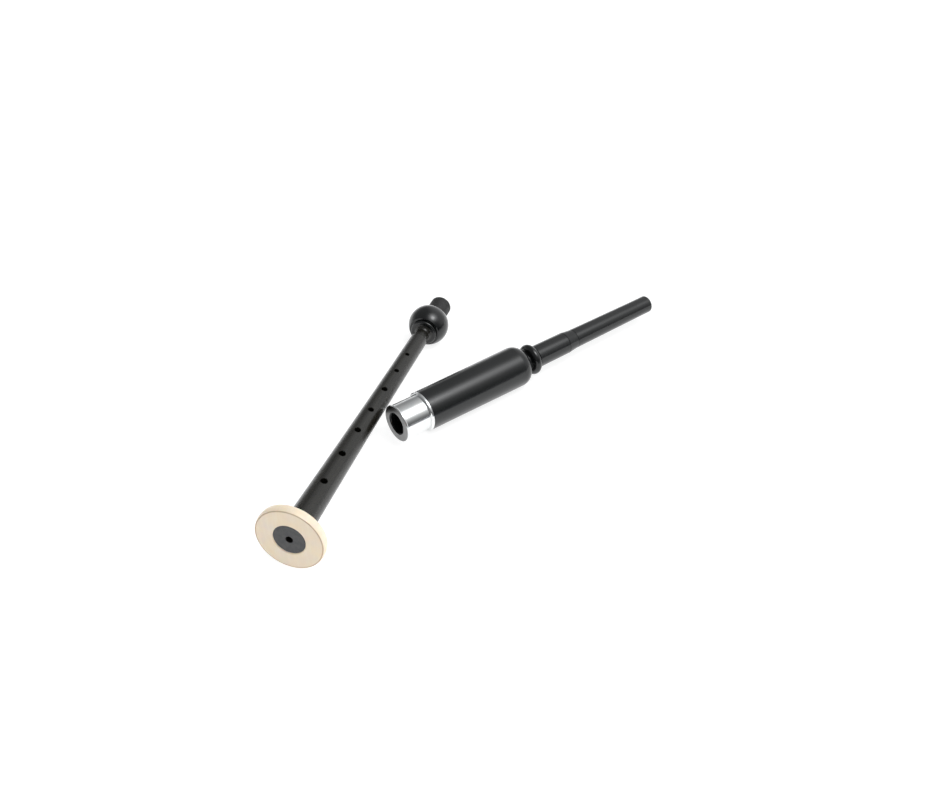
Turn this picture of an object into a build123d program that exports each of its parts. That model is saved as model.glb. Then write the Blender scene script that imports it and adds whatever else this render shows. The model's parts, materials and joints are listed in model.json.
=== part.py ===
from build123d import *
from math import atan, cos, pi, sin, sqrt
import os

# A two-piece practice chanter, taken apart and lying on a flat surface.
# All sizes are in millimetres and degrees. The flat surface is Z = 0 and
# +Y runs along the upper half, from its open mouth to the mouth tip.
#
# Every sub-part is turned about one of two axes. A station is a distance
# along such an axis: on the lower half from the front face of the sole,
# on the upper half from the front face of the ferrule.

# ---- How the two halves lie ----
lay_angle = 34.0            # between the two axes, seen from above
sole_x = 69.5               # centre of the sole's front face
sole_y = -167.8
mouth_x = 12.9              # centre of the upper half's open mouth
mouth_y = -51.5

# ---- Sole and its bush ----
sole_r = 22.5
sole_thickness = 6.0
sole_bead_r = 22.0          # where the rounded rim starts
sole_groove_depth = 0.4
bush_r = 10.55
bush_thickness = 3.0
bush_set_back = 0.35        # the bush sits this far below the sole's face
bush_spigot_r = 4.6
bush_spigot_end = 13.0
bush_bore_r = 2.3
edge_bevel = 0.5

# ---- Lower stick ----
stick_foot_r = 8.95
stick_top_r = 6.1
stick_hollow = 0.5          # how far the outline dips between foot and top
stick_top = 221.6           # station of the round shoulder
stick_spigot_r = 6.4        # in the sole, and through the bulb
air_bore_r = 2.3
neck_r = 4.7
neck_end = 227.5
stop_r = 6.8                # the collar that the bulb sits against
tenon_core_r = 5.8
tenon_end = 272.3
hole_roll = 15.6            # the finger holes are turned this far off the top
hole_stations = [47.4, 75.9, 101.7, 124.8, 149.4, 172.3, 193.4]
hole_radii = [2.35, 2.35, 2.2, 2.0, 2.1, 1.65, 1.5]
thumb_station = 205.8
thumb_r = 1.8
hole_flare = 30.0           # how steeply the hole edges open
hole_flare_depth = 0.4

# ---- Bulb and tenon winding ----
bulb_r = 14.7
bulb_station = 242.3
bulb_start = 230.4
bulb_end = 253.9
bulb_ring_r = 9.6           # the ring turned on the bulb's front
bulb_ring_round = 1.2
hemp_r = 7.8
hemp_start = 254.5
hemp_end = 270.5
hemp_round = 0.5
reed_seat_r = 3.5
reed_seat_depth = 12.0

# ---- Barrel and ferrule ----
barrel_r = 14.5
barrel_foot_r = 14.1        # at the ferrule
spigot_r = 12.0             # the turned-down end under the ferrule
ferrule_tube_r = 12.6
ferrule_end = 21.5
ferrule_rim_width = 1.7
flange_r = 13.1
flange_width = 1.5
flange_face = 0.8           # thickness of metal over the barrel's end
flange_hole_r = 8.1
socket_r = 7.83             # takes the wound tenon
socket_end = 20.5
chamber_r = 8.0
chamber_end = 87.0
air_hole_r = 3.0
stem_socket_r = 5.6         # takes the mouthpiece's wound tenon
stem_socket_end = 89.0
shoulder_start = 101.6
shoulder_arc_r = 9.5
barrel_end_r = 7.4

# ---- Mouthpiece ----
stem_tenon_end = 90.5
stem_core_r = 4.5
stem_hemp_r = 5.55
stem_hemp_start = 93.0
stem_hemp_end = 109.0
stem_gap = 0.25             # between the barrel's end and the mouthpiece
stem_neck_r = 6.8
stem_bead_r = 11.15
stem_bead_station = 116.5
stem_bead_half_width = 3.05
stem_start = 120.2
stem_foot_r = 8.1
stem_top_r = 7.9
step_start = 148.6
step_end = 156.8
tip_foot_r = 7.05
tip_grip_r = 6.45
tip_grip_start = 218.5
tip_end = 231.9
tip_round = 1.8
tip_spigot_r = 4.5
tip_spigot_start = 145.5
mouth_bore_r = 2.3
line_width = 0.5
line_depth = 0.3

# ---- Reed, put away in the barrel ----
reed_drop = 3.8             # the reed's axis is this far below the barrel's
reed_start = 35.0
staple_length = 24.0
staple_end_r = 2.6
staple_tip_r = 1.7
staple_wall = 0.45
seat_hemp_start = 1.0
seat_hemp_end = 11.0
seat_hemp_r = 3.45
blade_start = 15.0
blade_shoulder = 22.5
blade_end = 48.0
blade_root_half_width = 2.9
blade_tip_half_width = 5.5
blade_side_gap = 0.15       # half the slit between the two blades
binding_r = 3.9
binding_inner_r = 3.15
bridle_start = 27.2
bridle_length = 2.2
bridle_inner_x = 3.95
bridle_inner_y = 2.95
bridle_wall = 0.7

# ---- Sizes worked out from the ones above ----
sole_edge_station = sole_thickness / 2
rest_tilt = atan((sole_r - bulb_r) / (bulb_station - sole_edge_station))
sole_z = sole_r * cos(rest_tilt) + sole_edge_station * sin(rest_tilt)
turn = lay_angle * pi / 180
roll = hole_roll * pi / 180
barrel_end = shoulder_start + sqrt(shoulder_arc_r**2 - (barrel_end_r - barrel_r + shoulder_arc_r) ** 2)
stem_tenon_face = barrel_end + stem_gap
shoulder_round = stick_top_r - neck_r
shoulder_station = stick_top - shoulder_round

lower_direction = Vector(-sin(turn) * cos(rest_tilt), cos(turn) * cos(rest_tilt), -sin(rest_tilt))
lower = Plane(
    origin=(sole_x, sole_y, sole_z),
    x_dir=lower_direction,
    z_dir=(cos(turn), sin(turn), 0),
)
upper = Plane(origin=(mouth_x, mouth_y, barrel_r), x_dir=(0, 1, 0), z_dir=(1, 0, 0))
reed = Plane(
    origin=(mouth_x, mouth_y + reed_start, barrel_r - reed_drop),
    x_dir=(0, 1, 0),
    z_dir=(1, 0, 0),
)


def axis_of(half):
    """The turning axis of a half, whose plane has x along it and y outwards."""
    return Axis(half.origin, half.x_dir)


def across(half, station):
    """The plane square to a half's axis at a station."""
    return Plane(origin=half.origin + half.x_dir * station, x_dir=half.z_dir, z_dir=half.x_dir)


def stick_radius(station):
    """The outer radius of the stick, whose tapering outline is slightly hollow."""
    share = (station - sole_thickness) / (shoulder_station - sole_thickness)
    dip = 4 * stick_hollow * share * (1 - share)
    return stick_foot_r + share * (stick_top_r - stick_foot_r) - dip


def hole_plane(station, outward, distance):
    """The plane square to a finger hole, at a distance from the stick's axis."""
    centre = lower.origin + lower.x_dir * station
    return Plane(origin=centre + outward * distance, x_dir=lower.x_dir, z_dir=outward)


def save(node, name):
    """Label a finished sub-part and write it as one STEP file."""
    node.part.label = name
    export_step(node.part, f"parts/{name}.step")


os.makedirs("parts", exist_ok=True)

# ================= LOWER HALF =================

# ---- Sole: imitation ivory disc with a round rim and a turned line ----
with BuildPart() as sole:
    with BuildSketch(lower):
        with BuildLine():
            rim = ThreePointArc(
                (edge_bevel / 2, sole_bead_r),
                (sole_edge_station, sole_r),
                (sole_thickness, sole_bead_r),
            )
            Polyline(
                rim @ 1,
                (sole_thickness, stick_spigot_r),
                (bush_thickness, stick_spigot_r),
                (bush_thickness, bush_r),
                (edge_bevel, bush_r),
                (0, bush_r + edge_bevel),
                (0, sole_bead_r - 2 * sole_groove_depth),
                (sole_groove_depth, sole_bead_r - sole_groove_depth),
                rim @ 0,
            )
        make_face()
    revolve(axis=axis_of(lower))
save(sole, "sole")

# ---- Bush: flanged plug that closes the sole and carries the bore's outlet ----
with BuildPart() as sole_bush:
    with BuildSketch(lower):
        with BuildLine():
            Polyline(
                (bush_set_back, bush_bore_r + edge_bevel / 2),
                (bush_set_back, bush_r - edge_bevel / 2),
                (bush_set_back + edge_bevel / 2, bush_r),
                (bush_thickness, bush_r),
                (bush_thickness, bush_spigot_r),
                (bush_spigot_end, bush_spigot_r),
                (bush_spigot_end, bush_bore_r),
                (bush_set_back + edge_bevel / 2, bush_bore_r),
                close=True,
            )
        make_face()
    revolve(axis=axis_of(lower))
save(sole_bush, "sole_bush")

# ---- Stick: hollow-tapered tube with finger holes, neck, collar and tenon ----
stick_middle = (sole_thickness + shoulder_station) / 2
mid_share = sqrt(0.5)
with BuildPart() as chanter_stick:
    with BuildSketch(lower):
        with BuildLine():
            taper = Bezier(
                (sole_thickness, stick_foot_r),
                (stick_middle, stick_radius(stick_middle) - stick_hollow),
                (shoulder_station, stick_top_r),
            )
            shoulder = ThreePointArc(
                taper @ 1,
                (shoulder_station + mid_share * shoulder_round, neck_r + mid_share * shoulder_round),
                (stick_top, neck_r),
            )
            flare = ThreePointArc(
                (neck_end, neck_r),
                (
                    neck_end + mid_share * (bulb_start - neck_end),
                    stop_r - mid_share * (stop_r - neck_r),
                ),
                (bulb_start, stop_r),
            )
            Line(shoulder @ 1, flare @ 0)
            Polyline(
                flare @ 1,
                (bulb_start, stick_spigot_r),
                (hemp_start, stick_spigot_r),
                (hemp_start, tenon_core_r),
                (hemp_end, tenon_core_r),
                (hemp_end, stick_spigot_r),
                (tenon_end - 2 * edge_bevel, stick_spigot_r),
                (tenon_end, stick_spigot_r - 2 * edge_bevel),
                (tenon_end, 0),
                (bush_thickness, 0),
                (bush_thickness, stick_spigot_r),
                (sole_thickness, stick_spigot_r),
                taper @ 0,
            )
        make_face()
    revolve(axis=axis_of(lower))
    # the air bore, the seat of the bush and the reed seat
    with BuildSketch(across(lower, bush_thickness)):
        Circle(air_bore_r)
    extrude(amount=tenon_end - bush_thickness, mode=Mode.SUBTRACT)
    with BuildSketch(across(lower, bush_thickness)):
        Circle(bush_spigot_r)
    extrude(amount=bush_spigot_end - bush_thickness, mode=Mode.SUBTRACT)
    with BuildSketch(across(lower, tenon_end - reed_seat_depth)):
        Circle(reed_seat_r)
    extrude(amount=reed_seat_depth, mode=Mode.SUBTRACT)
    # seven finger holes on the front and a thumb hole on the back
    front = lower.y_dir * cos(roll) + lower.z_dir * sin(roll)
    for station, radius, outward in zip(
        hole_stations + [thumb_station],
        hole_radii + [thumb_r],
        [front] * len(hole_stations) + [-front],
    ):
        with BuildSketch(hole_plane(station, outward, 0)):
            Circle(radius)
        extrude(amount=stick_foot_r, mode=Mode.SUBTRACT)
        with BuildSketch(hole_plane(station, outward, stick_radius(station) - hole_flare_depth)):
            Circle(radius)
        extrude(amount=4 * hole_flare_depth, taper=-hole_flare, mode=Mode.SUBTRACT)
save(chanter_stick, "chanter_stick")

# ---- Bulb: bored ball with a ring on its front, between the collar and the tenon ----
ball_start = bulb_start + 2 * bulb_ring_round
with BuildPart() as bulb_mount:
    with BuildSketch(lower):
        with BuildLine():
            ring = ThreePointArc(
                (bulb_start, bulb_ring_r - bulb_ring_round),
                (bulb_start + bulb_ring_round, bulb_ring_r),
                (ball_start, bulb_ring_r - bulb_ring_round),
            )
            ball = ThreePointArc(
                (ball_start, sqrt(bulb_r**2 - (bulb_station - ball_start) ** 2)),
                (bulb_station, bulb_r),
                (bulb_end, sqrt(bulb_r**2 - (bulb_end - bulb_station) ** 2)),
            )
            Line(ring @ 1, ball @ 0)
            Polyline(
                ball @ 1,
                (bulb_end, stick_spigot_r),
                (bulb_start, stick_spigot_r),
                ring @ 0,
            )
        make_face()
    revolve(axis=axis_of(lower))
save(bulb_mount, "bulb_mount")


def winding(half, start, end, inner, outer):
    """A wound thread sleeve with eased ends."""
    with BuildPart() as sleeve:
        with BuildSketch(half):
            with BuildLine():
                Polyline(
                    (start, inner),
                    (start, outer - hemp_round),
                    (start + hemp_round, outer),
                    (end - hemp_round, outer),
                    (end, outer - hemp_round),
                    (end, inner),
                    close=True,
                )
            make_face()
        revolve(axis=axis_of(half))
    return sleeve


# ---- Tenon winding: waxed hemp in the tenon's groove ----
tenon_hemp = winding(lower, hemp_start, hemp_end, tenon_core_r, hemp_r)
save(tenon_hemp, "tenon_hemp")

# ================= UPPER HALF =================

# ---- Ferrule: metal sleeve with a mouth flange and a rear rim ----
rim_start = ferrule_end - ferrule_rim_width
with BuildPart() as ferrule:
    with BuildSketch(upper):
        with BuildLine():
            lip = ThreePointArc(
                (0, ferrule_tube_r),
                (flange_width / 2, flange_r),
                (flange_width, ferrule_tube_r),
            )
            Polyline(
                lip @ 1,
                (rim_start, ferrule_tube_r),
                (rim_start, barrel_foot_r - edge_bevel),
                (rim_start + edge_bevel, barrel_foot_r),
                (ferrule_end, barrel_foot_r),
                (ferrule_end, spigot_r),
                (flange_face, spigot_r),
                (flange_face, flange_hole_r),
                (0, flange_hole_r),
                lip @ 0,
            )
        make_face()
    revolve(axis=axis_of(upper))
save(ferrule, "ferrule")

# ---- Barrel: socket, air chamber and the mouthpiece's socket in one tube ----
arc_centre_r = barrel_r - shoulder_arc_r
with BuildPart() as barrel:
    with BuildSketch(upper):
        with BuildLine():
            shoulder = ThreePointArc(
                (shoulder_start, barrel_r),
                (
                    shoulder_start + mid_share * shoulder_arc_r,
                    arc_centre_r + mid_share * shoulder_arc_r,
                ),
                (barrel_end, barrel_end_r),
            )
            Polyline(
                shoulder @ 1,
                (barrel_end, stem_socket_r + edge_bevel),
                (barrel_end - edge_bevel, stem_socket_r),
                (stem_socket_end, stem_socket_r),
                (stem_socket_end, air_hole_r),
                (chamber_end, air_hole_r),
                (chamber_end, chamber_r),
                (socket_end, chamber_r),
                (socket_end, socket_r),
                (flange_face + flange_hole_r - socket_r, socket_r),
                (flange_face, flange_hole_r),
                (flange_face, spigot_r),
                (ferrule_end, spigot_r),
                (ferrule_end, barrel_foot_r - edge_bevel / 2),
                (ferrule_end + edge_bevel / 2, barrel_foot_r),
                shoulder @ 0,
            )
        make_face()
    revolve(axis=axis_of(upper))
save(barrel, "barrel")

# ---- Mouthpiece winding ----
mouthpiece_hemp = winding(upper, stem_hemp_start, stem_hemp_end, stem_core_r, stem_hemp_r)
save(mouthpiece_hemp, "mouthpiece_hemp")

# ---- Mouthpiece stem: tenon, bead, cove and the lower stretch of the tube ----
bead_foot = stem_bead_station - stem_bead_half_width
bead_top = stem_bead_station + stem_bead_half_width
with BuildPart() as mouthpiece_stem:
    with BuildSketch(upper):
        with BuildLine():
            bead = ThreePointArc(
                (bead_foot, stem_neck_r + 1),
                (stem_bead_station, stem_bead_r),
                (bead_top, stem_neck_r + 1),
            )
            Polyline(
                bead @ 1,
                (bead_top, stem_neck_r),
                (stem_start, stem_neck_r),
                (stem_start, stem_foot_r - edge_bevel),
                (stem_start + edge_bevel, stem_foot_r),
                (step_start - line_width, stem_top_r),
                (step_start - line_width / 2, stem_top_r - line_depth),
                (step_start, stem_top_r),
                (step_end, tip_foot_r),
                (step_end, tip_spigot_r),
                (tip_spigot_start, tip_spigot_r),
                (tip_spigot_start, mouth_bore_r),
                (stem_tenon_end, mouth_bore_r),
                (stem_tenon_end, stem_core_r + edge_bevel),
                (stem_hemp_start, stem_core_r + edge_bevel),
                (stem_hemp_start, stem_core_r),
                (stem_hemp_end, stem_core_r),
                (stem_hemp_end, stem_hemp_r - edge_bevel),
                (stem_tenon_face, stem_hemp_r - edge_bevel),
                (stem_tenon_face, stem_neck_r),
                (bead_foot, stem_neck_r),
                bead @ 0,
            )
        make_face()
    revolve(axis=axis_of(upper))
save(mouthpiece_stem, "mouthpiece_stem")

# ---- Mouthpiece tip: thinner tube let into the stem ----
with BuildPart() as mouthpiece_tip:
    with BuildSketch(upper):
        with BuildLine():
            tip_curve = ThreePointArc(
                (tip_end - tip_round, tip_grip_r),
                (tip_end - (1 - mid_share) * tip_round, tip_grip_r - (1 - mid_share) * tip_round),
                (tip_end, tip_grip_r - tip_round),
            )
            Polyline(
                tip_curve @ 1,
                (tip_end, mouth_bore_r),
                (tip_spigot_start, mouth_bore_r),
                (tip_spigot_start, tip_spigot_r),
                (step_end, tip_spigot_r),
                (step_end, tip_foot_r - line_depth),
                (step_end + line_width, tip_foot_r),
                (tip_grip_start, tip_grip_r),
                tip_curve @ 0,
            )
        make_face()
    revolve(axis=axis_of(upper))
save(mouthpiece_tip, "mouthpiece_tip")

# ================= REED =================


def staple_radius(station):
    """The outer radius of the conical staple."""
    return staple_end_r + station / staple_length * (staple_tip_r - staple_end_r)


# ---- Staple: conical metal tube ----
with BuildPart() as reed_staple:
    with BuildSketch(reed):
        with BuildLine():
            Polyline(
                (0, staple_end_r - staple_wall),
                (0, staple_end_r),
                (staple_length, staple_tip_r),
                (staple_length, staple_tip_r - staple_wall),
                close=True,
            )
        make_face()
    revolve(axis=axis_of(reed))
save(reed_staple, "reed_staple")

# ---- Winding that fills the reed seat ----
with BuildPart() as reed_seat_hemp:
    with BuildSketch(reed):
        with BuildLine():
            Polyline(
                (seat_hemp_start, staple_radius(seat_hemp_start)),
                (seat_hemp_start, seat_hemp_r - edge_bevel),
                (seat_hemp_start + edge_bevel, seat_hemp_r),
                (seat_hemp_end, seat_hemp_r),
                (seat_hemp_end, staple_radius(seat_hemp_end)),
                close=True,
            )
        make_face()
    revolve(axis=axis_of(reed))
save(reed_seat_hemp, "reed_seat_hemp")


def blade_section(station, side, half_width, inner_height, outer_height):
    """The crescent section of one blade, with side +1 above and -1 below."""
    with BuildSketch(across(reed, station)) as section:
        with BuildLine():
            inner = ThreePointArc(
                (-half_width, side * blade_side_gap),
                (0, side * inner_height),
                (half_width, side * blade_side_gap),
            )
            outer = ThreePointArc(
                (-half_width, side * 2 * blade_side_gap),
                (0, side * outer_height),
                (half_width, side * 2 * blade_side_gap),
            )
            Line(inner @ 0, outer @ 0)
            Line(inner @ 1, outer @ 1)
        make_face()
    return section.sketch


def reed_blade(side):
    """One blade: straight under the binding, then flattening to a wide tip."""
    blade_sections = [
        (blade_start, blade_root_half_width, 2.4, 3.1),
        (blade_shoulder, blade_root_half_width, 2.4, 3.1),
        (blade_end, blade_tip_half_width, 0.45, 0.95),
    ]
    with BuildPart() as blade:
        loft(
            [
                blade_section(station, side, width, inner, outer)
                for station, width, inner, outer in blade_sections
            ],
            ruled=True,
        )
    return blade


reed_blade_upper = reed_blade(1)
save(reed_blade_upper, "reed_blade_upper")
reed_blade_lower = reed_blade(-1)
save(reed_blade_lower, "reed_blade_lower")

# ---- Binding: thread that ties the blades to the staple ----
reed_binding = winding(reed, blade_start, blade_shoulder, binding_inner_r, binding_r)
save(reed_binding, "reed_binding")

# ---- Bridle: loop that slides along the blades ----
with BuildPart() as reed_bridle:
    with BuildSketch(across(reed, bridle_start)):
        Ellipse(bridle_inner_x + bridle_wall, bridle_inner_y + bridle_wall)
        Ellipse(bridle_inner_x, bridle_inner_y, mode=Mode.SUBTRACT)
    extrude(amount=bridle_length)
save(reed_bridle, "reed_bridle")
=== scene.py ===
"""Looks of the practice chanter: turned surfaces, windings, studio and camera."""
import json
import math
import random

import bmesh
import bpy
from mathutils import Matrix, Vector, noise


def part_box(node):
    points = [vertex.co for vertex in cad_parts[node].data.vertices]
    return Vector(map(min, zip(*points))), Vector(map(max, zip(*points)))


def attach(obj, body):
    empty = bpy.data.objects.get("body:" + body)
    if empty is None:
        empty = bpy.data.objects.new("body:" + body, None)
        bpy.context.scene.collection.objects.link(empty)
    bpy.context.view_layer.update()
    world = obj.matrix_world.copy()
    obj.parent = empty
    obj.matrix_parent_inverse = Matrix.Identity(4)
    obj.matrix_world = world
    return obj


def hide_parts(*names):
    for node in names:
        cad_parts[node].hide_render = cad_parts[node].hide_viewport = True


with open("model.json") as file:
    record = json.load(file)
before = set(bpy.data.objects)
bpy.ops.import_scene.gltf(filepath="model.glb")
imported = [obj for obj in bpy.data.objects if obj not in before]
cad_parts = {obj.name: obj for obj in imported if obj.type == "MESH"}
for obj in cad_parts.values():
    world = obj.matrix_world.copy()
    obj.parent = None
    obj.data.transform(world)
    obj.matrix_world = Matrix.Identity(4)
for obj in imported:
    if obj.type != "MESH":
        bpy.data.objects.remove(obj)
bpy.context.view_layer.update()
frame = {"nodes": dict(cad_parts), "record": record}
nodes = frame["nodes"]
mounts = {mount["name"]: mount for mount in frame["record"]["mounts"]}

MM = 0.001
WHITE = (1, 1, 1, 1)

# ---- The two turning axes ----
# Each half is turned about one axis. A station is a distance in millimetres
# along it: from the sole's face on the lower half, from the mouth on the upper.


def axis_matrix(origin, direction):
    """Local frame of a half: X runs along its axis, Z is as far up as it can be."""
    along = direction.normalized()
    side = Vector((0, 0, 1)).cross(along).normalized()
    up = along.cross(side)
    turned = Matrix((along, side, up)).transposed().to_4x4()
    return Matrix.Translation(origin) @ turned


def lower_matrix():
    """The lower half's frame, from its reed seat and its sole's face."""
    along = Vector(mounts["reed_seat"]["axis"])
    seat = Vector(mounts["reed_seat"]["pos_m"])
    face = Vector(mounts["sole_face"]["pos_m"])
    return axis_matrix(seat + along * (face - seat).dot(along), along)


def upper_matrix():
    """The upper half's frame, from its mouth grip and the ferrule's front."""
    along = Vector(mounts["mouth_grip"]["axis"])
    grip = Vector(mounts["mouth_grip"]["pos_m"])
    mouth_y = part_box("ferrule")[0].y
    return axis_matrix(Vector((grip.x, mouth_y, grip.z)), along)


LOWER = lower_matrix()
UPPER = upper_matrix()


def middle(node):
    """The centre of a CAD node's box."""
    low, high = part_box(node)
    return (low + high) / 2


def span(node, matrix):
    """The stations, in millimetres, between which a CAD node lies on an axis."""
    to_local = matrix.inverted()
    stations = [(to_local @ vertex.co).x / MM for vertex in nodes[node].data.vertices]
    return min(stations), max(stations)


# ---- Node helpers ----


class Shader:
    """A material with its Principled node, and short ways to add nodes."""

    def __init__(self, name, matrix=None):
        self.material = bpy.data.materials.new(name)
        self.material.use_nodes = True
        self.tree = self.material.node_tree
        self.surface = self.tree.nodes["Principled BSDF"]
        self.place = self.local_coordinates(matrix or Matrix.Identity(4))

    def local_coordinates(self, matrix):
        """Object coordinates turned into a half's own frame, in metres."""
        coordinates = self.tree.nodes.new("ShaderNodeTexCoord")
        mapping = self.tree.nodes.new("ShaderNodeMapping")
        mapping.vector_type = "TEXTURE"
        mapping.inputs["Location"].default_value = matrix.to_translation()
        mapping.inputs["Rotation"].default_value = matrix.to_euler()
        self.tree.links.new(coordinates.outputs["Object"], mapping.inputs["Vector"])
        return mapping.outputs["Vector"]

    def set(self, **values):
        """Uniform values on the Principled node's own sockets."""
        for name, value in values.items():
            self.surface.inputs[name.replace("_", " ")].default_value = value

    def stretched(self, scales):
        """The local coordinates times one scale per axis."""
        mapping = self.tree.nodes.new("ShaderNodeMapping")
        mapping.inputs["Scale"].default_value = scales
        self.tree.links.new(self.place, mapping.inputs["Vector"])
        return mapping.outputs["Vector"]

    def station(self):
        """The distance along the half's axis, in metres."""
        split = self.tree.nodes.new("ShaderNodeSeparateXYZ")
        self.tree.links.new(self.place, split.inputs["Vector"])
        return split.outputs["X"]

    def radius(self):
        """The distance from the half's axis, in metres."""
        length = self.tree.nodes.new("ShaderNodeVectorMath")
        length.operation = "LENGTH"
        self.tree.links.new(self.stretched((0, 1, 1)), length.inputs[0])
        return length.outputs["Value"]

    def noise(self, scales, detail=2.0, roughness=0.5, distortion=0.0):
        """A noise pattern with its own scale along each axis, in cells per metre."""
        texture = self.tree.nodes.new("ShaderNodeTexNoise")
        texture.inputs["Scale"].default_value = 1.0
        texture.inputs["Detail"].default_value = detail
        texture.inputs["Roughness"].default_value = roughness
        texture.inputs["Distortion"].default_value = distortion
        self.tree.links.new(self.stretched(scales), texture.inputs["Vector"])
        return texture.outputs["Fac"]

    def ramp(self, value, low, high, first, last):
        """Maps a value from low..high to first..last, clamped."""
        mapped = self.tree.nodes.new("ShaderNodeMapRange")
        mapped.inputs["From Min"].default_value = low
        mapped.inputs["From Max"].default_value = high
        mapped.inputs["To Min"].default_value = first
        mapped.inputs["To Max"].default_value = last
        self.tree.links.new(value, mapped.inputs["Value"])
        return mapped.outputs["Result"]

    def math(self, operation, first, second):
        """One math operation on two values or sockets."""
        node = self.tree.nodes.new("ShaderNodeMath")
        node.operation = operation
        for socket, value in zip(node.inputs, (first, second)):
            if isinstance(value, (int, float)):
                socket.default_value = value
            else:
                self.tree.links.new(value, socket)
        return node.outputs["Value"]

    def mix(self, factor, first, second):
        """Mixes two colours, or a colour and a socket, by a factor."""
        node = self.tree.nodes.new("ShaderNodeMix")
        node.data_type = "RGBA"
        self.tree.links.new(factor, node.inputs["Factor"])
        colour_sockets = [s for s in node.inputs if s.type == "RGBA"]
        for socket, value in zip(colour_sockets, (first, second)):
            if isinstance(value, tuple):
                socket.default_value = (*value, 1)
            else:
                self.tree.links.new(value, socket)
        return next(s for s in node.outputs if s.type == "RGBA")

    def bump(self, height, strength, distance, previous=None):
        """A bump of the height pattern, stacked on an earlier one."""
        node = self.tree.nodes.new("ShaderNodeBump")
        node.inputs["Strength"].default_value = strength
        node.inputs["Distance"].default_value = distance
        self.tree.links.new(height, node.inputs["Height"])
        if previous is not None:
            self.tree.links.new(previous, node.inputs["Normal"])
        return node.outputs["Normal"]

    def finish(self, colour, roughness=None, normal=None):
        """Links the patterns that vary to the Principled node."""
        patterns = {"Base Color": colour, "Roughness": roughness, "Normal": normal}
        for name, socket in patterns.items():
            if socket is not None:
                self.tree.links.new(socket, self.surface.inputs[name])
        return self.material


# ---- Materials ----


def gloss_acetal(name, matrix):
    """Polished black acetal: near mirror, with faint turning lines and haze."""
    shader = Shader(name, matrix)
    shader.set(IOR=1.5)
    haze = shader.noise((60, 160, 160), detail=4.0)
    lines = shader.noise((5200, 40, 40), detail=3.0)
    scuffs = shader.noise((900, 2600, 2600), detail=5.0, roughness=0.7)
    deep_black = (0.0048, 0.0056, 0.0058)
    pale_black = (0.0075, 0.0085, 0.0086)
    colour = shader.mix(shader.ramp(haze, 0.3, 0.7, 0, 1), deep_black, pale_black)
    polish = shader.ramp(haze, 0.3, 0.7, 0.14, 0.19)
    rough = shader.math("ADD", polish, shader.ramp(scuffs, 0.55, 0.8, 0, 0.1))
    normal = shader.bump(lines, 0.06, 0.05 * MM)
    normal = shader.bump(scuffs, 0.05, 0.05 * MM, normal)
    return shader.finish(colour, rough, normal)


def satin_acetal(name, matrix):
    """Satin black acetal of the stick: warm, streaked along it and mottled by handling."""
    shader = Shader(name, matrix)
    shader.set(IOR=1.5)
    streaks = shader.noise((30, 900, 900), detail=4.0, roughness=0.6)
    cloud = shader.noise((70, 220, 220), detail=3.0)
    lines = shader.noise((3600, 60, 60), detail=3.0)
    grain = shader.noise((2600, 5200, 5200), detail=3.0, roughness=0.7)
    mottle = shader.noise((420, 700, 700), detail=5.0, roughness=0.65, distortion=0.6)
    dark_streak = (0.0060, 0.0056, 0.0044)
    pale_streak = (0.0150, 0.0138, 0.0102)
    worn = (0.0035, 0.0034, 0.0032)
    base = shader.mix(shader.ramp(streaks, 0.35, 0.65, 0, 1), dark_streak, pale_streak)
    colour = shader.mix(shader.ramp(mottle, 0.52, 0.66, 0, 0.8), base, worn)
    polish = shader.ramp(cloud, 0.3, 0.7, 0.21, 0.28)
    rough = shader.math("ADD", polish, shader.ramp(mottle, 0.4, 0.7, 0, 0.09))
    normal = shader.bump(lines, 0.12, 0.06 * MM)
    normal = shader.bump(grain, 0.12, 0.05 * MM, normal)
    return shader.finish(colour, rough, normal)


def matt_acetal(name, matrix, bore_shade_radii):
    """Acetal as the tool left it: grey with fine facing rings, and painted shade, near black,
    inside the bore.
    """
    shader = Shader(name, matrix)
    shader.set(IOR=1.45)
    cloud = shader.noise((400, 400, 400), detail=4.0)
    speckle = shader.noise((5000, 5000, 5000), detail=2.0)
    dark_grey = (0.052, 0.054, 0.058)
    pale_grey = (0.070, 0.071, 0.072)
    # Painted shade: inside the bore the grey acetal is replaced by near black, standing in for
    # the shade deep in the hole.
    bore_shade_black = (0.002, 0.002, 0.002)
    face = shader.mix(shader.ramp(cloud, 0.35, 0.65, 0, 1), dark_grey, pale_grey)
    outside_bore = shader.ramp(shader.radius(), bore_shade_radii[0], bore_shade_radii[1], 0, 1)
    colour = shader.mix(outside_bore, bore_shade_black, face)
    rough = shader.ramp(speckle, 0.3, 0.7, 0.48, 0.60)
    normal = shader.bump(facing_rings(shader, 0.25), 0.25, 0.03 * MM)
    normal = shader.bump(speckle, 0.15, 0.03 * MM, normal)
    return shader.finish(colour, rough, normal)


def facing_rings(shader, pitch):
    """Concentric tool rings about the local X axis, pitch in millimetres."""
    texture = shader.tree.nodes.new("ShaderNodeTexWave")
    texture.wave_type = "RINGS"
    texture.rings_direction = "X"
    texture.inputs["Scale"].default_value = 1 / (10 * pitch * MM)
    texture.inputs["Distortion"].default_value = 0.6
    texture.inputs["Detail"].default_value = 2.0
    shader.tree.links.new(shader.place, texture.inputs["Vector"])
    return texture.outputs["Fac"]


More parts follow.
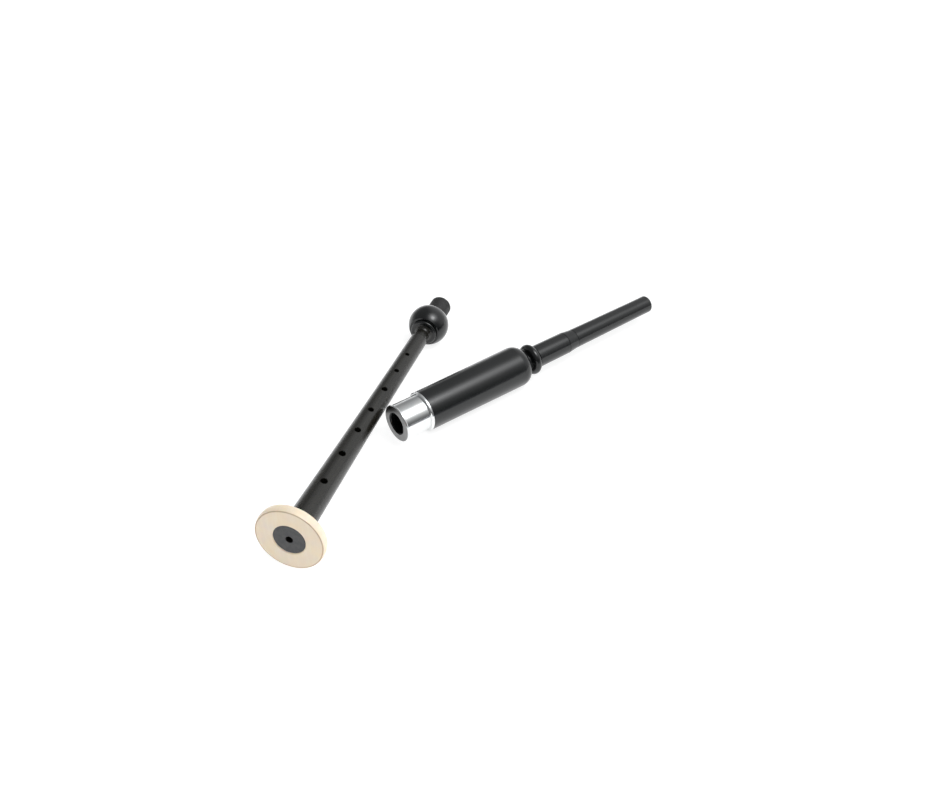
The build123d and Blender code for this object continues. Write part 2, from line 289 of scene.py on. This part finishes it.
def imitation_ivory(name, matrix, groove_radius):
    """Cast cream resin: soft mottling, fine turned rings, and painted shade along the turned
    line.
    """
    shader = Shader(name, matrix)
    shader.set(IOR=1.5, Subsurface_Weight=0.15, Subsurface_Scale=0.002)
    cloud = shader.noise((90, 110, 110), detail=3.0)
    streak = shader.noise((40, 500, 90), detail=4.0, roughness=0.6)
    warm_cream = (0.89, 0.74, 0.53)
    dull_cream = (0.84, 0.72, 0.59)
    pale_cream = (0.91, 0.81, 0.64)
    line_shade_brown = (0.48, 0.34, 0.20)
    base = shader.mix(shader.ramp(cloud, 0.3, 0.7, 0, 1), warm_cream, dull_cream)
    mottled_cream = shader.mix(shader.ramp(streak, 0.45, 0.75, 0, 0.5), base, pale_cream)
    # Painted shade: a dark brown line on the front face along the turned line, standing in for
    # the shade in its groove.
    at_front = shader.ramp(shader.station(), 0.45 * MM, 0.65 * MM, 0.75, 0)
    past_line = shader.math("SUBTRACT", shader.radius(), groove_radius)
    off_line = shader.math("ABSOLUTE", past_line, 0)
    on_line = shader.ramp(off_line, 0.15 * MM, 0.5 * MM, 1, 0)
    line_shade = shader.math("MULTIPLY", at_front, on_line)
    colour = shader.mix(line_shade, mottled_cream, line_shade_brown)
    speckle = shader.noise((3000, 3000, 3000), detail=3.0)
    rough = shader.ramp(speckle, 0.3, 0.7, 0.30, 0.42)
    normal = shader.bump(facing_rings(shader, 0.35), 0.10, 0.02 * MM)
    normal = shader.bump(speckle, 0.06, 0.03 * MM, normal)
    return shader.finish(colour, rough, normal)


def nickel(name, matrix):
    """Polished nickel plate: round buffing lines, fine scratches, and a duller front face."""
    shader = Shader(name, matrix)
    shader.set(Metallic=1.0)
    lines = shader.noise((6000, 30, 30), detail=4.0)
    haze = shader.noise((120, 160, 160), detail=4.0)
    cool_nickel = (0.70, 0.72, 0.73)
    warm_nickel = (0.78, 0.78, 0.77)
    dull_front = (0.24, 0.24, 0.24)
    plate = shader.mix(shader.ramp(haze, 0.3, 0.7, 0, 1), cool_nickel, warm_nickel)
    behind_face = shader.ramp(shader.station(), 0.05 * MM, 0.35 * MM, 0, 1)
    colour = shader.mix(behind_face, dull_front, plate)
    blur = shader.ramp(haze, 0.3, 0.7, 0.07, 0.12)
    polish = shader.math("ADD", blur, shader.ramp(lines, 0.5, 0.8, 0, 0.06))
    rough = shader.math("ADD", polish, shader.ramp(behind_face, 0, 1, 0.22, 0))
    normal = shader.bump(lines, 0.06, 0.03 * MM)
    return shader.finish(colour, rough, normal)


def thread(name, matrix, dark, light, rough_range):
    """Twisted thread: strand-fine fibres and blotches where wax has gathered."""
    shader = Shader(name, matrix)
    shader.set(IOR=1.45, Sheen_Weight=0.08, Sheen_Roughness=0.5)
    fibres = shader.noise((9000, 2500, 2500), detail=3.0, roughness=0.7)
    wax = shader.noise((450, 450, 450), detail=3.0)
    lit_fibres = shader.ramp(fibres, 0.3, 0.7, 0.2, 1)
    blend = shader.math("MULTIPLY", lit_fibres, shader.ramp(wax, 0.3, 0.7, 0.3, 1))
    colour = shader.mix(blend, dark, light)
    rough = shader.ramp(wax, 0.3, 0.7, *rough_range)
    normal = shader.bump(fibres, 0.5, 0.05 * MM)
    return shader.finish(colour, rough, normal)


def cane(name, matrix):
    """Scraped cane: long pale fibres with darker pores."""
    shader = Shader(name, matrix)
    shader.set(IOR=1.45)
    fibres = shader.noise((120, 4500, 2500), detail=4.0, roughness=0.65)
    pores = shader.noise((700, 7000, 5000), detail=2.0)
    dark_cane = (0.47, 0.31, 0.12)
    pale_cane = (0.74, 0.57, 0.30)
    pore_brown = (0.22, 0.13, 0.05)
    base = shader.mix(shader.ramp(fibres, 0.3, 0.7, 0, 1), dark_cane, pale_cane)
    colour = shader.mix(shader.ramp(pores, 0.62, 0.75, 0, 0.6), base, pore_brown)
    rough = shader.ramp(fibres, 0.3, 0.7, 0.42, 0.6)
    normal = shader.bump(fibres, 0.3, 0.05 * MM)
    return shader.finish(colour, rough, normal)


def brass(name, matrix):
    """Drawn brass tube: draw lines along it and a dull tarnish."""
    shader = Shader(name, matrix)
    shader.set(Metallic=1.0)
    lines = shader.noise((60, 6000, 6000), detail=3.0)
    tarnish = shader.noise((300, 300, 300), detail=4.0)
    bright_brass = (0.72, 0.50, 0.20)
    dull_brass = (0.42, 0.26, 0.10)
    colour = shader.mix(shader.ramp(tarnish, 0.35, 0.7, 0, 1), bright_brass, dull_brass)
    rough = shader.ramp(tarnish, 0.3, 0.7, 0.22, 0.45)
    normal = shader.bump(lines, 0.1, 0.03 * MM)
    return shader.finish(colour, rough, normal)


def rubber(name, matrix):
    """Moulded black rubber with a faint bloom."""
    shader = Shader(name, matrix)
    shader.set(IOR=1.45)
    bloom = shader.noise((800, 800, 800), detail=4.0)
    grain = shader.noise((7000, 7000, 7000), detail=2.0)
    black_rubber = (0.018, 0.018, 0.018)
    bloom_grey = (0.045, 0.043, 0.040)
    colour = shader.mix(shader.ramp(bloom, 0.35, 0.7, 0, 1), black_rubber, bloom_grey)
    rough = shader.ramp(grain, 0.3, 0.7, 0.6, 0.8)
    normal = shader.bump(grain, 0.3, 0.03 * MM)
    return shader.finish(colour, rough, normal)


def give(node, material):
    """A carried-over CAD node gets its material."""
    data = nodes[node].data
    data.materials.clear()
    data.materials.append(material)


# ---- Making meshes and windings ----
# A winding is a skin of rings: so many points on each, and so many rings per turn of thread.
ring_points = 96
rings_per_turn = 7
# The sway is in turns of the thread; the lumps, the drop at a winding's ends and the
# least thickness of a winding are in millimetres.
thread_sway = 0.25
thread_lump = 0.08
thread_end_drop = 0.7
least_thickness = 0.1


def placed_object(name, build):
    """Turns a bmesh into an object of the scene, and frees the bmesh."""
    mesh = bpy.data.meshes.new(name)
    build.to_mesh(mesh)
    build.free()
    made = bpy.data.objects.new(name, mesh)
    bpy.context.scene.collection.objects.link(made)
    return made


def turned_mesh(name, matrix, rings):
    """A closed skin through rings of local points in metres, the last joined to the first."""
    build = bmesh.new()
    rows = [[build.verts.new(matrix @ Vector(point)) for point in ring] for ring in rings]
    count = len(rows[0])
    for first, second in zip(rows, rows[1:] + rows[:1]):
        for i in range(count):
            j = (i + 1) % count
            build.faces.new((first[i], first[j], second[j], second[i]))
    bmesh.ops.recalc_face_normals(build, faces=build.faces)
    piece = placed_object(name, build)
    for face in piece.data.polygons:
        face.use_smooth = True
    return piece


def ring_of_points(station, radii):
    """One ring of local points in metres, from a station and its radii in millimetres."""
    ring = []
    for i, radius in enumerate(radii):
        angle = 2 * math.pi * i / len(radii)
        across = radius * MM * math.cos(angle)
        ring.append((station * MM, across, radius * MM * math.sin(angle)))
    return ring


def thread_drop(station, angle, pitch, depth, phase):
    """How far below its sleeve's outside a wound thread lies at a place, in millimetres."""
    over, beside = math.cos(angle), math.sin(angle)
    sway = thread_sway * noise.noise(Vector((station * 0.6, over + phase, beside)))
    turn = (station / pitch + sway + angle / (2 * math.pi)) % 1.0
    ridge = math.sqrt(max(0.0, 1 - (2 * turn - 1) ** 2))
    lump = noise.noise(Vector((station * 1.7, 3 * over, 3 * beside + phase)))
    return depth * (1 - ridge) + thread_lump * (0.5 + lump)


def wound_piece(name, node, body, matrix, material, pitch, depth, seed):
    """Thread wound helically over a CAD sleeve: ridges of one thread, slightly uneven."""
    start, end = span(node, matrix)
    to_local = matrix.inverted()
    points = [to_local @ vertex.co for vertex in nodes[node].data.vertices]
    distances = [math.hypot(point.y, point.z) / MM for point in points]
    inner, outer = min(distances), max(distances)
    count = round((end - start) / pitch * rings_per_turn)
    random.seed(seed)
    phase = random.random() * 10
    rings = []
    for k in range(count + 1):
        station = start + (end - start) * k / count
        ease = min(1.0, min(station - start, end - station) / (1.6 * pitch))
        end_drop = (1 - math.sqrt(ease)) * thread_end_drop
        radii = []
        for i in range(ring_points):
            angle = 2 * math.pi * i / ring_points
            drop = thread_drop(station, angle, pitch, depth, phase) + end_drop
            radii.append(min(max(outer - drop, inner + least_thickness), outer))
        rings.append(ring_of_points(station, radii))
    for station in (end, start):
        rings.append(ring_of_points(station, [inner] * ring_points))
    piece = turned_mesh(name, matrix, rings)
    piece.data.materials.append(material)
    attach(piece, body)
    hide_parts(node)


def axial_shift(matrix, node):
    """The same directions as a half's frame, with the axis through a node's middle."""
    shifted = matrix.copy()
    centre = middle(node)
    shifted.translation = Vector((centre.x, matrix.translation.y, centre.z))
    return shifted


REED = axial_shift(UPPER, "reed_staple")

# ---- Materials on the carried-over nodes ----
# The turned line on the sole's face, darkened there by painted shade, lies at this share of
# the sole's radius.
sole_line_share = 0.958
sole_low, sole_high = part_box("sole")
sole_line_radius = sole_line_share * (sole_high.z - sole_low.z) / 2
# The bush's painted shade turns from black to grey between these two radii, just outside its
# bore.
bush_bore_shade_radii = (2.35 * MM, 2.5 * MM)
lower_gloss = gloss_acetal("lower_gloss_acetal", LOWER)
upper_gloss = gloss_acetal("upper_gloss_acetal", UPPER)
give("chanter_stick", satin_acetal("satin_acetal", LOWER))
give("bulb_mount", lower_gloss)
give("sole", imitation_ivory("imitation_ivory", LOWER, sole_line_radius))
give("sole_bush", matt_acetal("matt_acetal", LOWER, bush_bore_shade_radii))
for turned_node in ("barrel", "mouthpiece_stem", "mouthpiece_tip"):
    give(turned_node, upper_gloss)
give("ferrule", nickel("nickel_plate", UPPER))
give("reed_staple", brass("brass_tube", REED))
blade_cane = cane("cane", REED)
give("reed_blade_upper", blade_cane)
give("reed_blade_lower", blade_cane)
give("reed_bridle", rubber("rubber", REED))

# ---- Windings ----
wax_black = (0.003, 0.003, 0.003)
wax_sheen = (0.018, 0.018, 0.018)
wax_rough = (0.45, 0.7)
black_hemp = thread("black_waxed_hemp", LOWER, wax_black, wax_sheen, wax_rough)
upper_hemp = thread("black_waxed_hemp_upper", UPPER, wax_black, wax_sheen, wax_rough)
yellow_hemp = thread("yellow_hemp", REED, (0.30, 0.19, 0.06), (0.62, 0.46, 0.20), (0.6, 0.8))
red_thread = thread("red_thread", REED, (0.12, 0.008, 0.008), (0.42, 0.03, 0.03), (0.4, 0.6))
wound_piece(
    "tenon_winding", "tenon_hemp", "lower_half", LOWER, black_hemp,
    pitch=0.55, depth=0.16, seed=3,
)
wound_piece(
    "mouthpiece_winding_thread", "mouthpiece_hemp", "mouthpiece_winding", UPPER, upper_hemp,
    pitch=0.55, depth=0.16, seed=4,
)
wound_piece(
    "reed_seat_winding", "reed_seat_hemp", "reed", REED, yellow_hemp,
    pitch=0.4, depth=0.12, seed=5,
)
wound_piece(
    "reed_binding_winding", "reed_binding", "reed", REED, red_thread,
    pitch=0.35, depth=0.12, seed=6,
)

# ---- Camera ----
# Where it stands and what it looks at, in radians and metres; the lens is in millimetres.
view_azimuth = math.radians(52.16)
view_elevation = math.radians(38.46)
view_distance = 0.8468
view_aim = Vector((0.0034, 0.01795, 0.0))
view_lens = 45.93
sensor_width = 36.0


def add_camera():
    """A camera that looks down on the two halves from in front of the sole."""
    back = Vector(
        (
            math.sin(view_azimuth) * math.cos(view_elevation),
            -math.cos(view_azimuth) * math.cos(view_elevation),
            math.sin(view_elevation),
        )
    )
    data = bpy.data.cameras.new("camera")
    data.lens = view_lens
    data.sensor_width = sensor_width
    data.clip_start = 0.01
    data.clip_end = 50.0
    camera = bpy.data.objects.new("camera", data)
    bpy.context.scene.collection.objects.link(camera)
    camera.location = view_aim + back * view_distance
    camera.rotation_mode = "QUATERNION"
    camera.rotation_quaternion = (-back).to_track_quat("-Z", "Y")
    bpy.context.scene.camera = camera


# ---- Studio ----
# Sizes and distances are in metres.
floor_size = 6.0
backdrop_way = Vector((0.08, 0.94, 0.32)).normalized()
softbox_way = Vector((0.35, 0.24, 0.905)).normalized()
softbox_distance = 1.0
softbox_angle = math.radians(9)
softbox_radiance = 4.5
spill_radiance = 6.5
spill_tightness = 21
room_tint = (0.98, 0.99, 1.0, 1)
# Each pair is the two ends of a smooth change, either in a view direction (a cosine,
# a height or a place across) or in the brightness that belongs to it.
backdrop_spread = (0.45, 0.92)
backdrop_level = (0.30, 0.98)
glow_heights = (0.08, 0.36)
glow_level = (0.45, 0.0)
glow_side = (-0.3, 0.1)
shade_heights = (0.20, 0.45)
shade_level = (0.16, 0.0)
shade_side = (0.2, 0.6)
# The flag's near and far ends to the right of the ferrule, the lengths of those two ends,
# how far the far end is moved forward, and the cloth's height above the floor.
flag_start = 0.13
flag_end = 1.5
flag_near_length = 0.15
flag_far_length = 1.3
flag_far_shift = -0.2
flag_height = 0.0003


def add_floor():
    """A plain white floor with a glow of its own, so that shadows on it are faint."""
    build = bmesh.new()
    half = floor_size / 2
    corners = [(-half, -half, 0), (half, -half, 0), (half, half, 0), (-half, half, 0)]
    build.faces.new([build.verts.new(corner) for corner in corners])
    floor = placed_object("floor", build)
    shader = Shader("floor_paper")
    paper = shader.noise((900, 900, 900), detail=4.0)
    path = shader.tree.nodes.new("ShaderNodeLightPath").outputs["Is Camera Ray"]
    lit = shader.mix(paper, (0.80, 0.80, 0.80), (0.82, 0.82, 0.82))
    seen = shader.mix(path, lit, (0.30, 0.30, 0.30))
    glow = shader.ramp(path, 0, 1, 0.55, 0.85)
    shader.set(Roughness=1.0, Specular_IOR_Level=0.0, Emission_Color=WHITE)
    shader.tree.links.new(glow, shader.surface.inputs["Emission Strength"])
    floor.data.materials.append(shader.finish(seen))


def add_softbox(name, way, distance, angle, radiance):
    """A round soft light at a distance from the origin, seen under a given half angle."""
    data = bpy.data.lights.new(name, "AREA")
    data.shape = "DISK"
    data.size = 2 * distance * math.tan(angle)
    data.energy = radiance * math.pi * math.pi * (data.size / 2) ** 2
    light = bpy.data.objects.new(name, data)
    bpy.context.scene.collection.objects.link(light)
    light.location = way * distance
    light.rotation_mode = "QUATERNION"
    light.rotation_quaternion = (-way).to_track_quat("-Z", "Y")
    light.visible_camera = False


def add_flag():
    """A dark cloth on the floor, far to the right, that darkens the low reflections."""
    centre = middle("ferrule")
    near_left = Vector((centre.x + flag_start, centre.y, flag_height))
    near_right = near_left + Vector((0, flag_near_length, 0))
    far_left = Vector((centre.x + flag_end, centre.y + flag_far_shift, flag_height))
    far_right = far_left + Vector((0, flag_far_length, 0))
    corners = (near_left, far_left, far_right, near_right)
    build = bmesh.new()
    build.faces.new([build.verts.new(corner) for corner in corners])
    flag = placed_object("flag", build)
    flag.visible_camera = False
    flag.visible_diffuse = False
    flag.visible_shadow = False
    shader = Shader("flag_cloth")
    shader.set(Roughness=1.0, Specular_IOR_Level=0.0)
    weave = shader.noise((2000, 2000, 2000), detail=2.0)
    cloth = shader.mix(weave, (0.20, 0.21, 0.23), (0.26, 0.27, 0.29))
    flag.data.materials.append(shader.finish(cloth))


def smooth_range(tree, value, inside, outside):
    """Maps one range smoothly to another in the world's nodes."""
    mapped = tree.nodes.new("ShaderNodeMapRange")
    mapped.interpolation_type = "SMOOTHSTEP"
    for name, limit in zip(("From Min", "From Max", "To Min", "To Max"), inside + outside):
        mapped.inputs[name].default_value = limit
    tree.links.new(value, mapped.inputs["Value"])
    return mapped.outputs["Result"]


def world_math(tree, operation, first, second):
    """One math operation on a socket and a number or another socket."""
    node = tree.nodes.new("ShaderNodeMath")
    node.operation = operation
    tree.links.new(first, node.inputs[0])
    if isinstance(second, (int, float)):
        node.inputs[1].default_value = second
    else:
        tree.links.new(second, node.inputs[1])
    return node.outputs["Value"]


def facing(tree, direction, way):
    """How squarely a view direction faces a way, from -1 to 1."""
    dot = tree.nodes.new("ShaderNodeVectorMath")
    dot.operation = "DOT_PRODUCT"
    dot.inputs[1].default_value = way
    tree.links.new(direction, dot.inputs[0])
    return dot.outputs["Value"]


def add_world():
    """A dim room with a pale backdrop, a glow on one side, a shade on the other, and spill."""
    world = bpy.data.worlds.new("studio")
    bpy.context.scene.world = world
    world.use_nodes = True
    tree = world.node_tree
    direction = tree.nodes.new("ShaderNodeTexCoord").outputs["Generated"]
    split = tree.nodes.new("ShaderNodeSeparateXYZ")
    tree.links.new(direction, split.inputs["Vector"])
    across, height = split.outputs["X"], split.outputs["Z"]
    towards_backdrop = facing(tree, direction, backdrop_way)
    backdrop = smooth_range(tree, towards_backdrop, backdrop_spread, backdrop_level)
    low_glow = smooth_range(tree, height, glow_heights, glow_level)
    left_side = smooth_range(tree, across, glow_side, (1.0, 0.0))
    low_shade = smooth_range(tree, height, shade_heights, shade_level)
    right_side = smooth_range(tree, across, shade_side, (0.0, 1.0))
    glow = world_math(tree, "MULTIPLY", low_glow, left_side)
    shade = world_math(tree, "MULTIPLY", low_shade, right_side)
    horizon = world_math(tree, "SUBTRACT", glow, shade)
    towards_softbox = world_math(tree, "MAXIMUM", facing(tree, direction, softbox_way), 0.0)
    lobe = world_math(tree, "POWER", towards_softbox, spill_tightness)
    spill = world_math(tree, "MULTIPLY", lobe, spill_radiance)
    room = world_math(tree, "ADD", world_math(tree, "ADD", backdrop, horizon), spill)
    path = tree.nodes.new("ShaderNodeLightPath")
    seen = tree.nodes.new("ShaderNodeMix")
    seen.data_type = "FLOAT"
    tree.links.new(path.outputs["Is Camera Ray"], seen.inputs["Factor"])
    tree.links.new(room, seen.inputs["A"])
    seen.inputs["B"].default_value = 1.0
    background = tree.nodes["Background"]
    tree.links.new(seen.outputs["Result"], background.inputs["Strength"])
    background.inputs["Color"].default_value = room_tint


add_camera()
add_floor()
add_flag()
add_world()
add_softbox("softbox", softbox_way, softbox_distance, softbox_angle, softbox_radiance)
bpy.context.scene.view_settings.view_transform = "Standard"
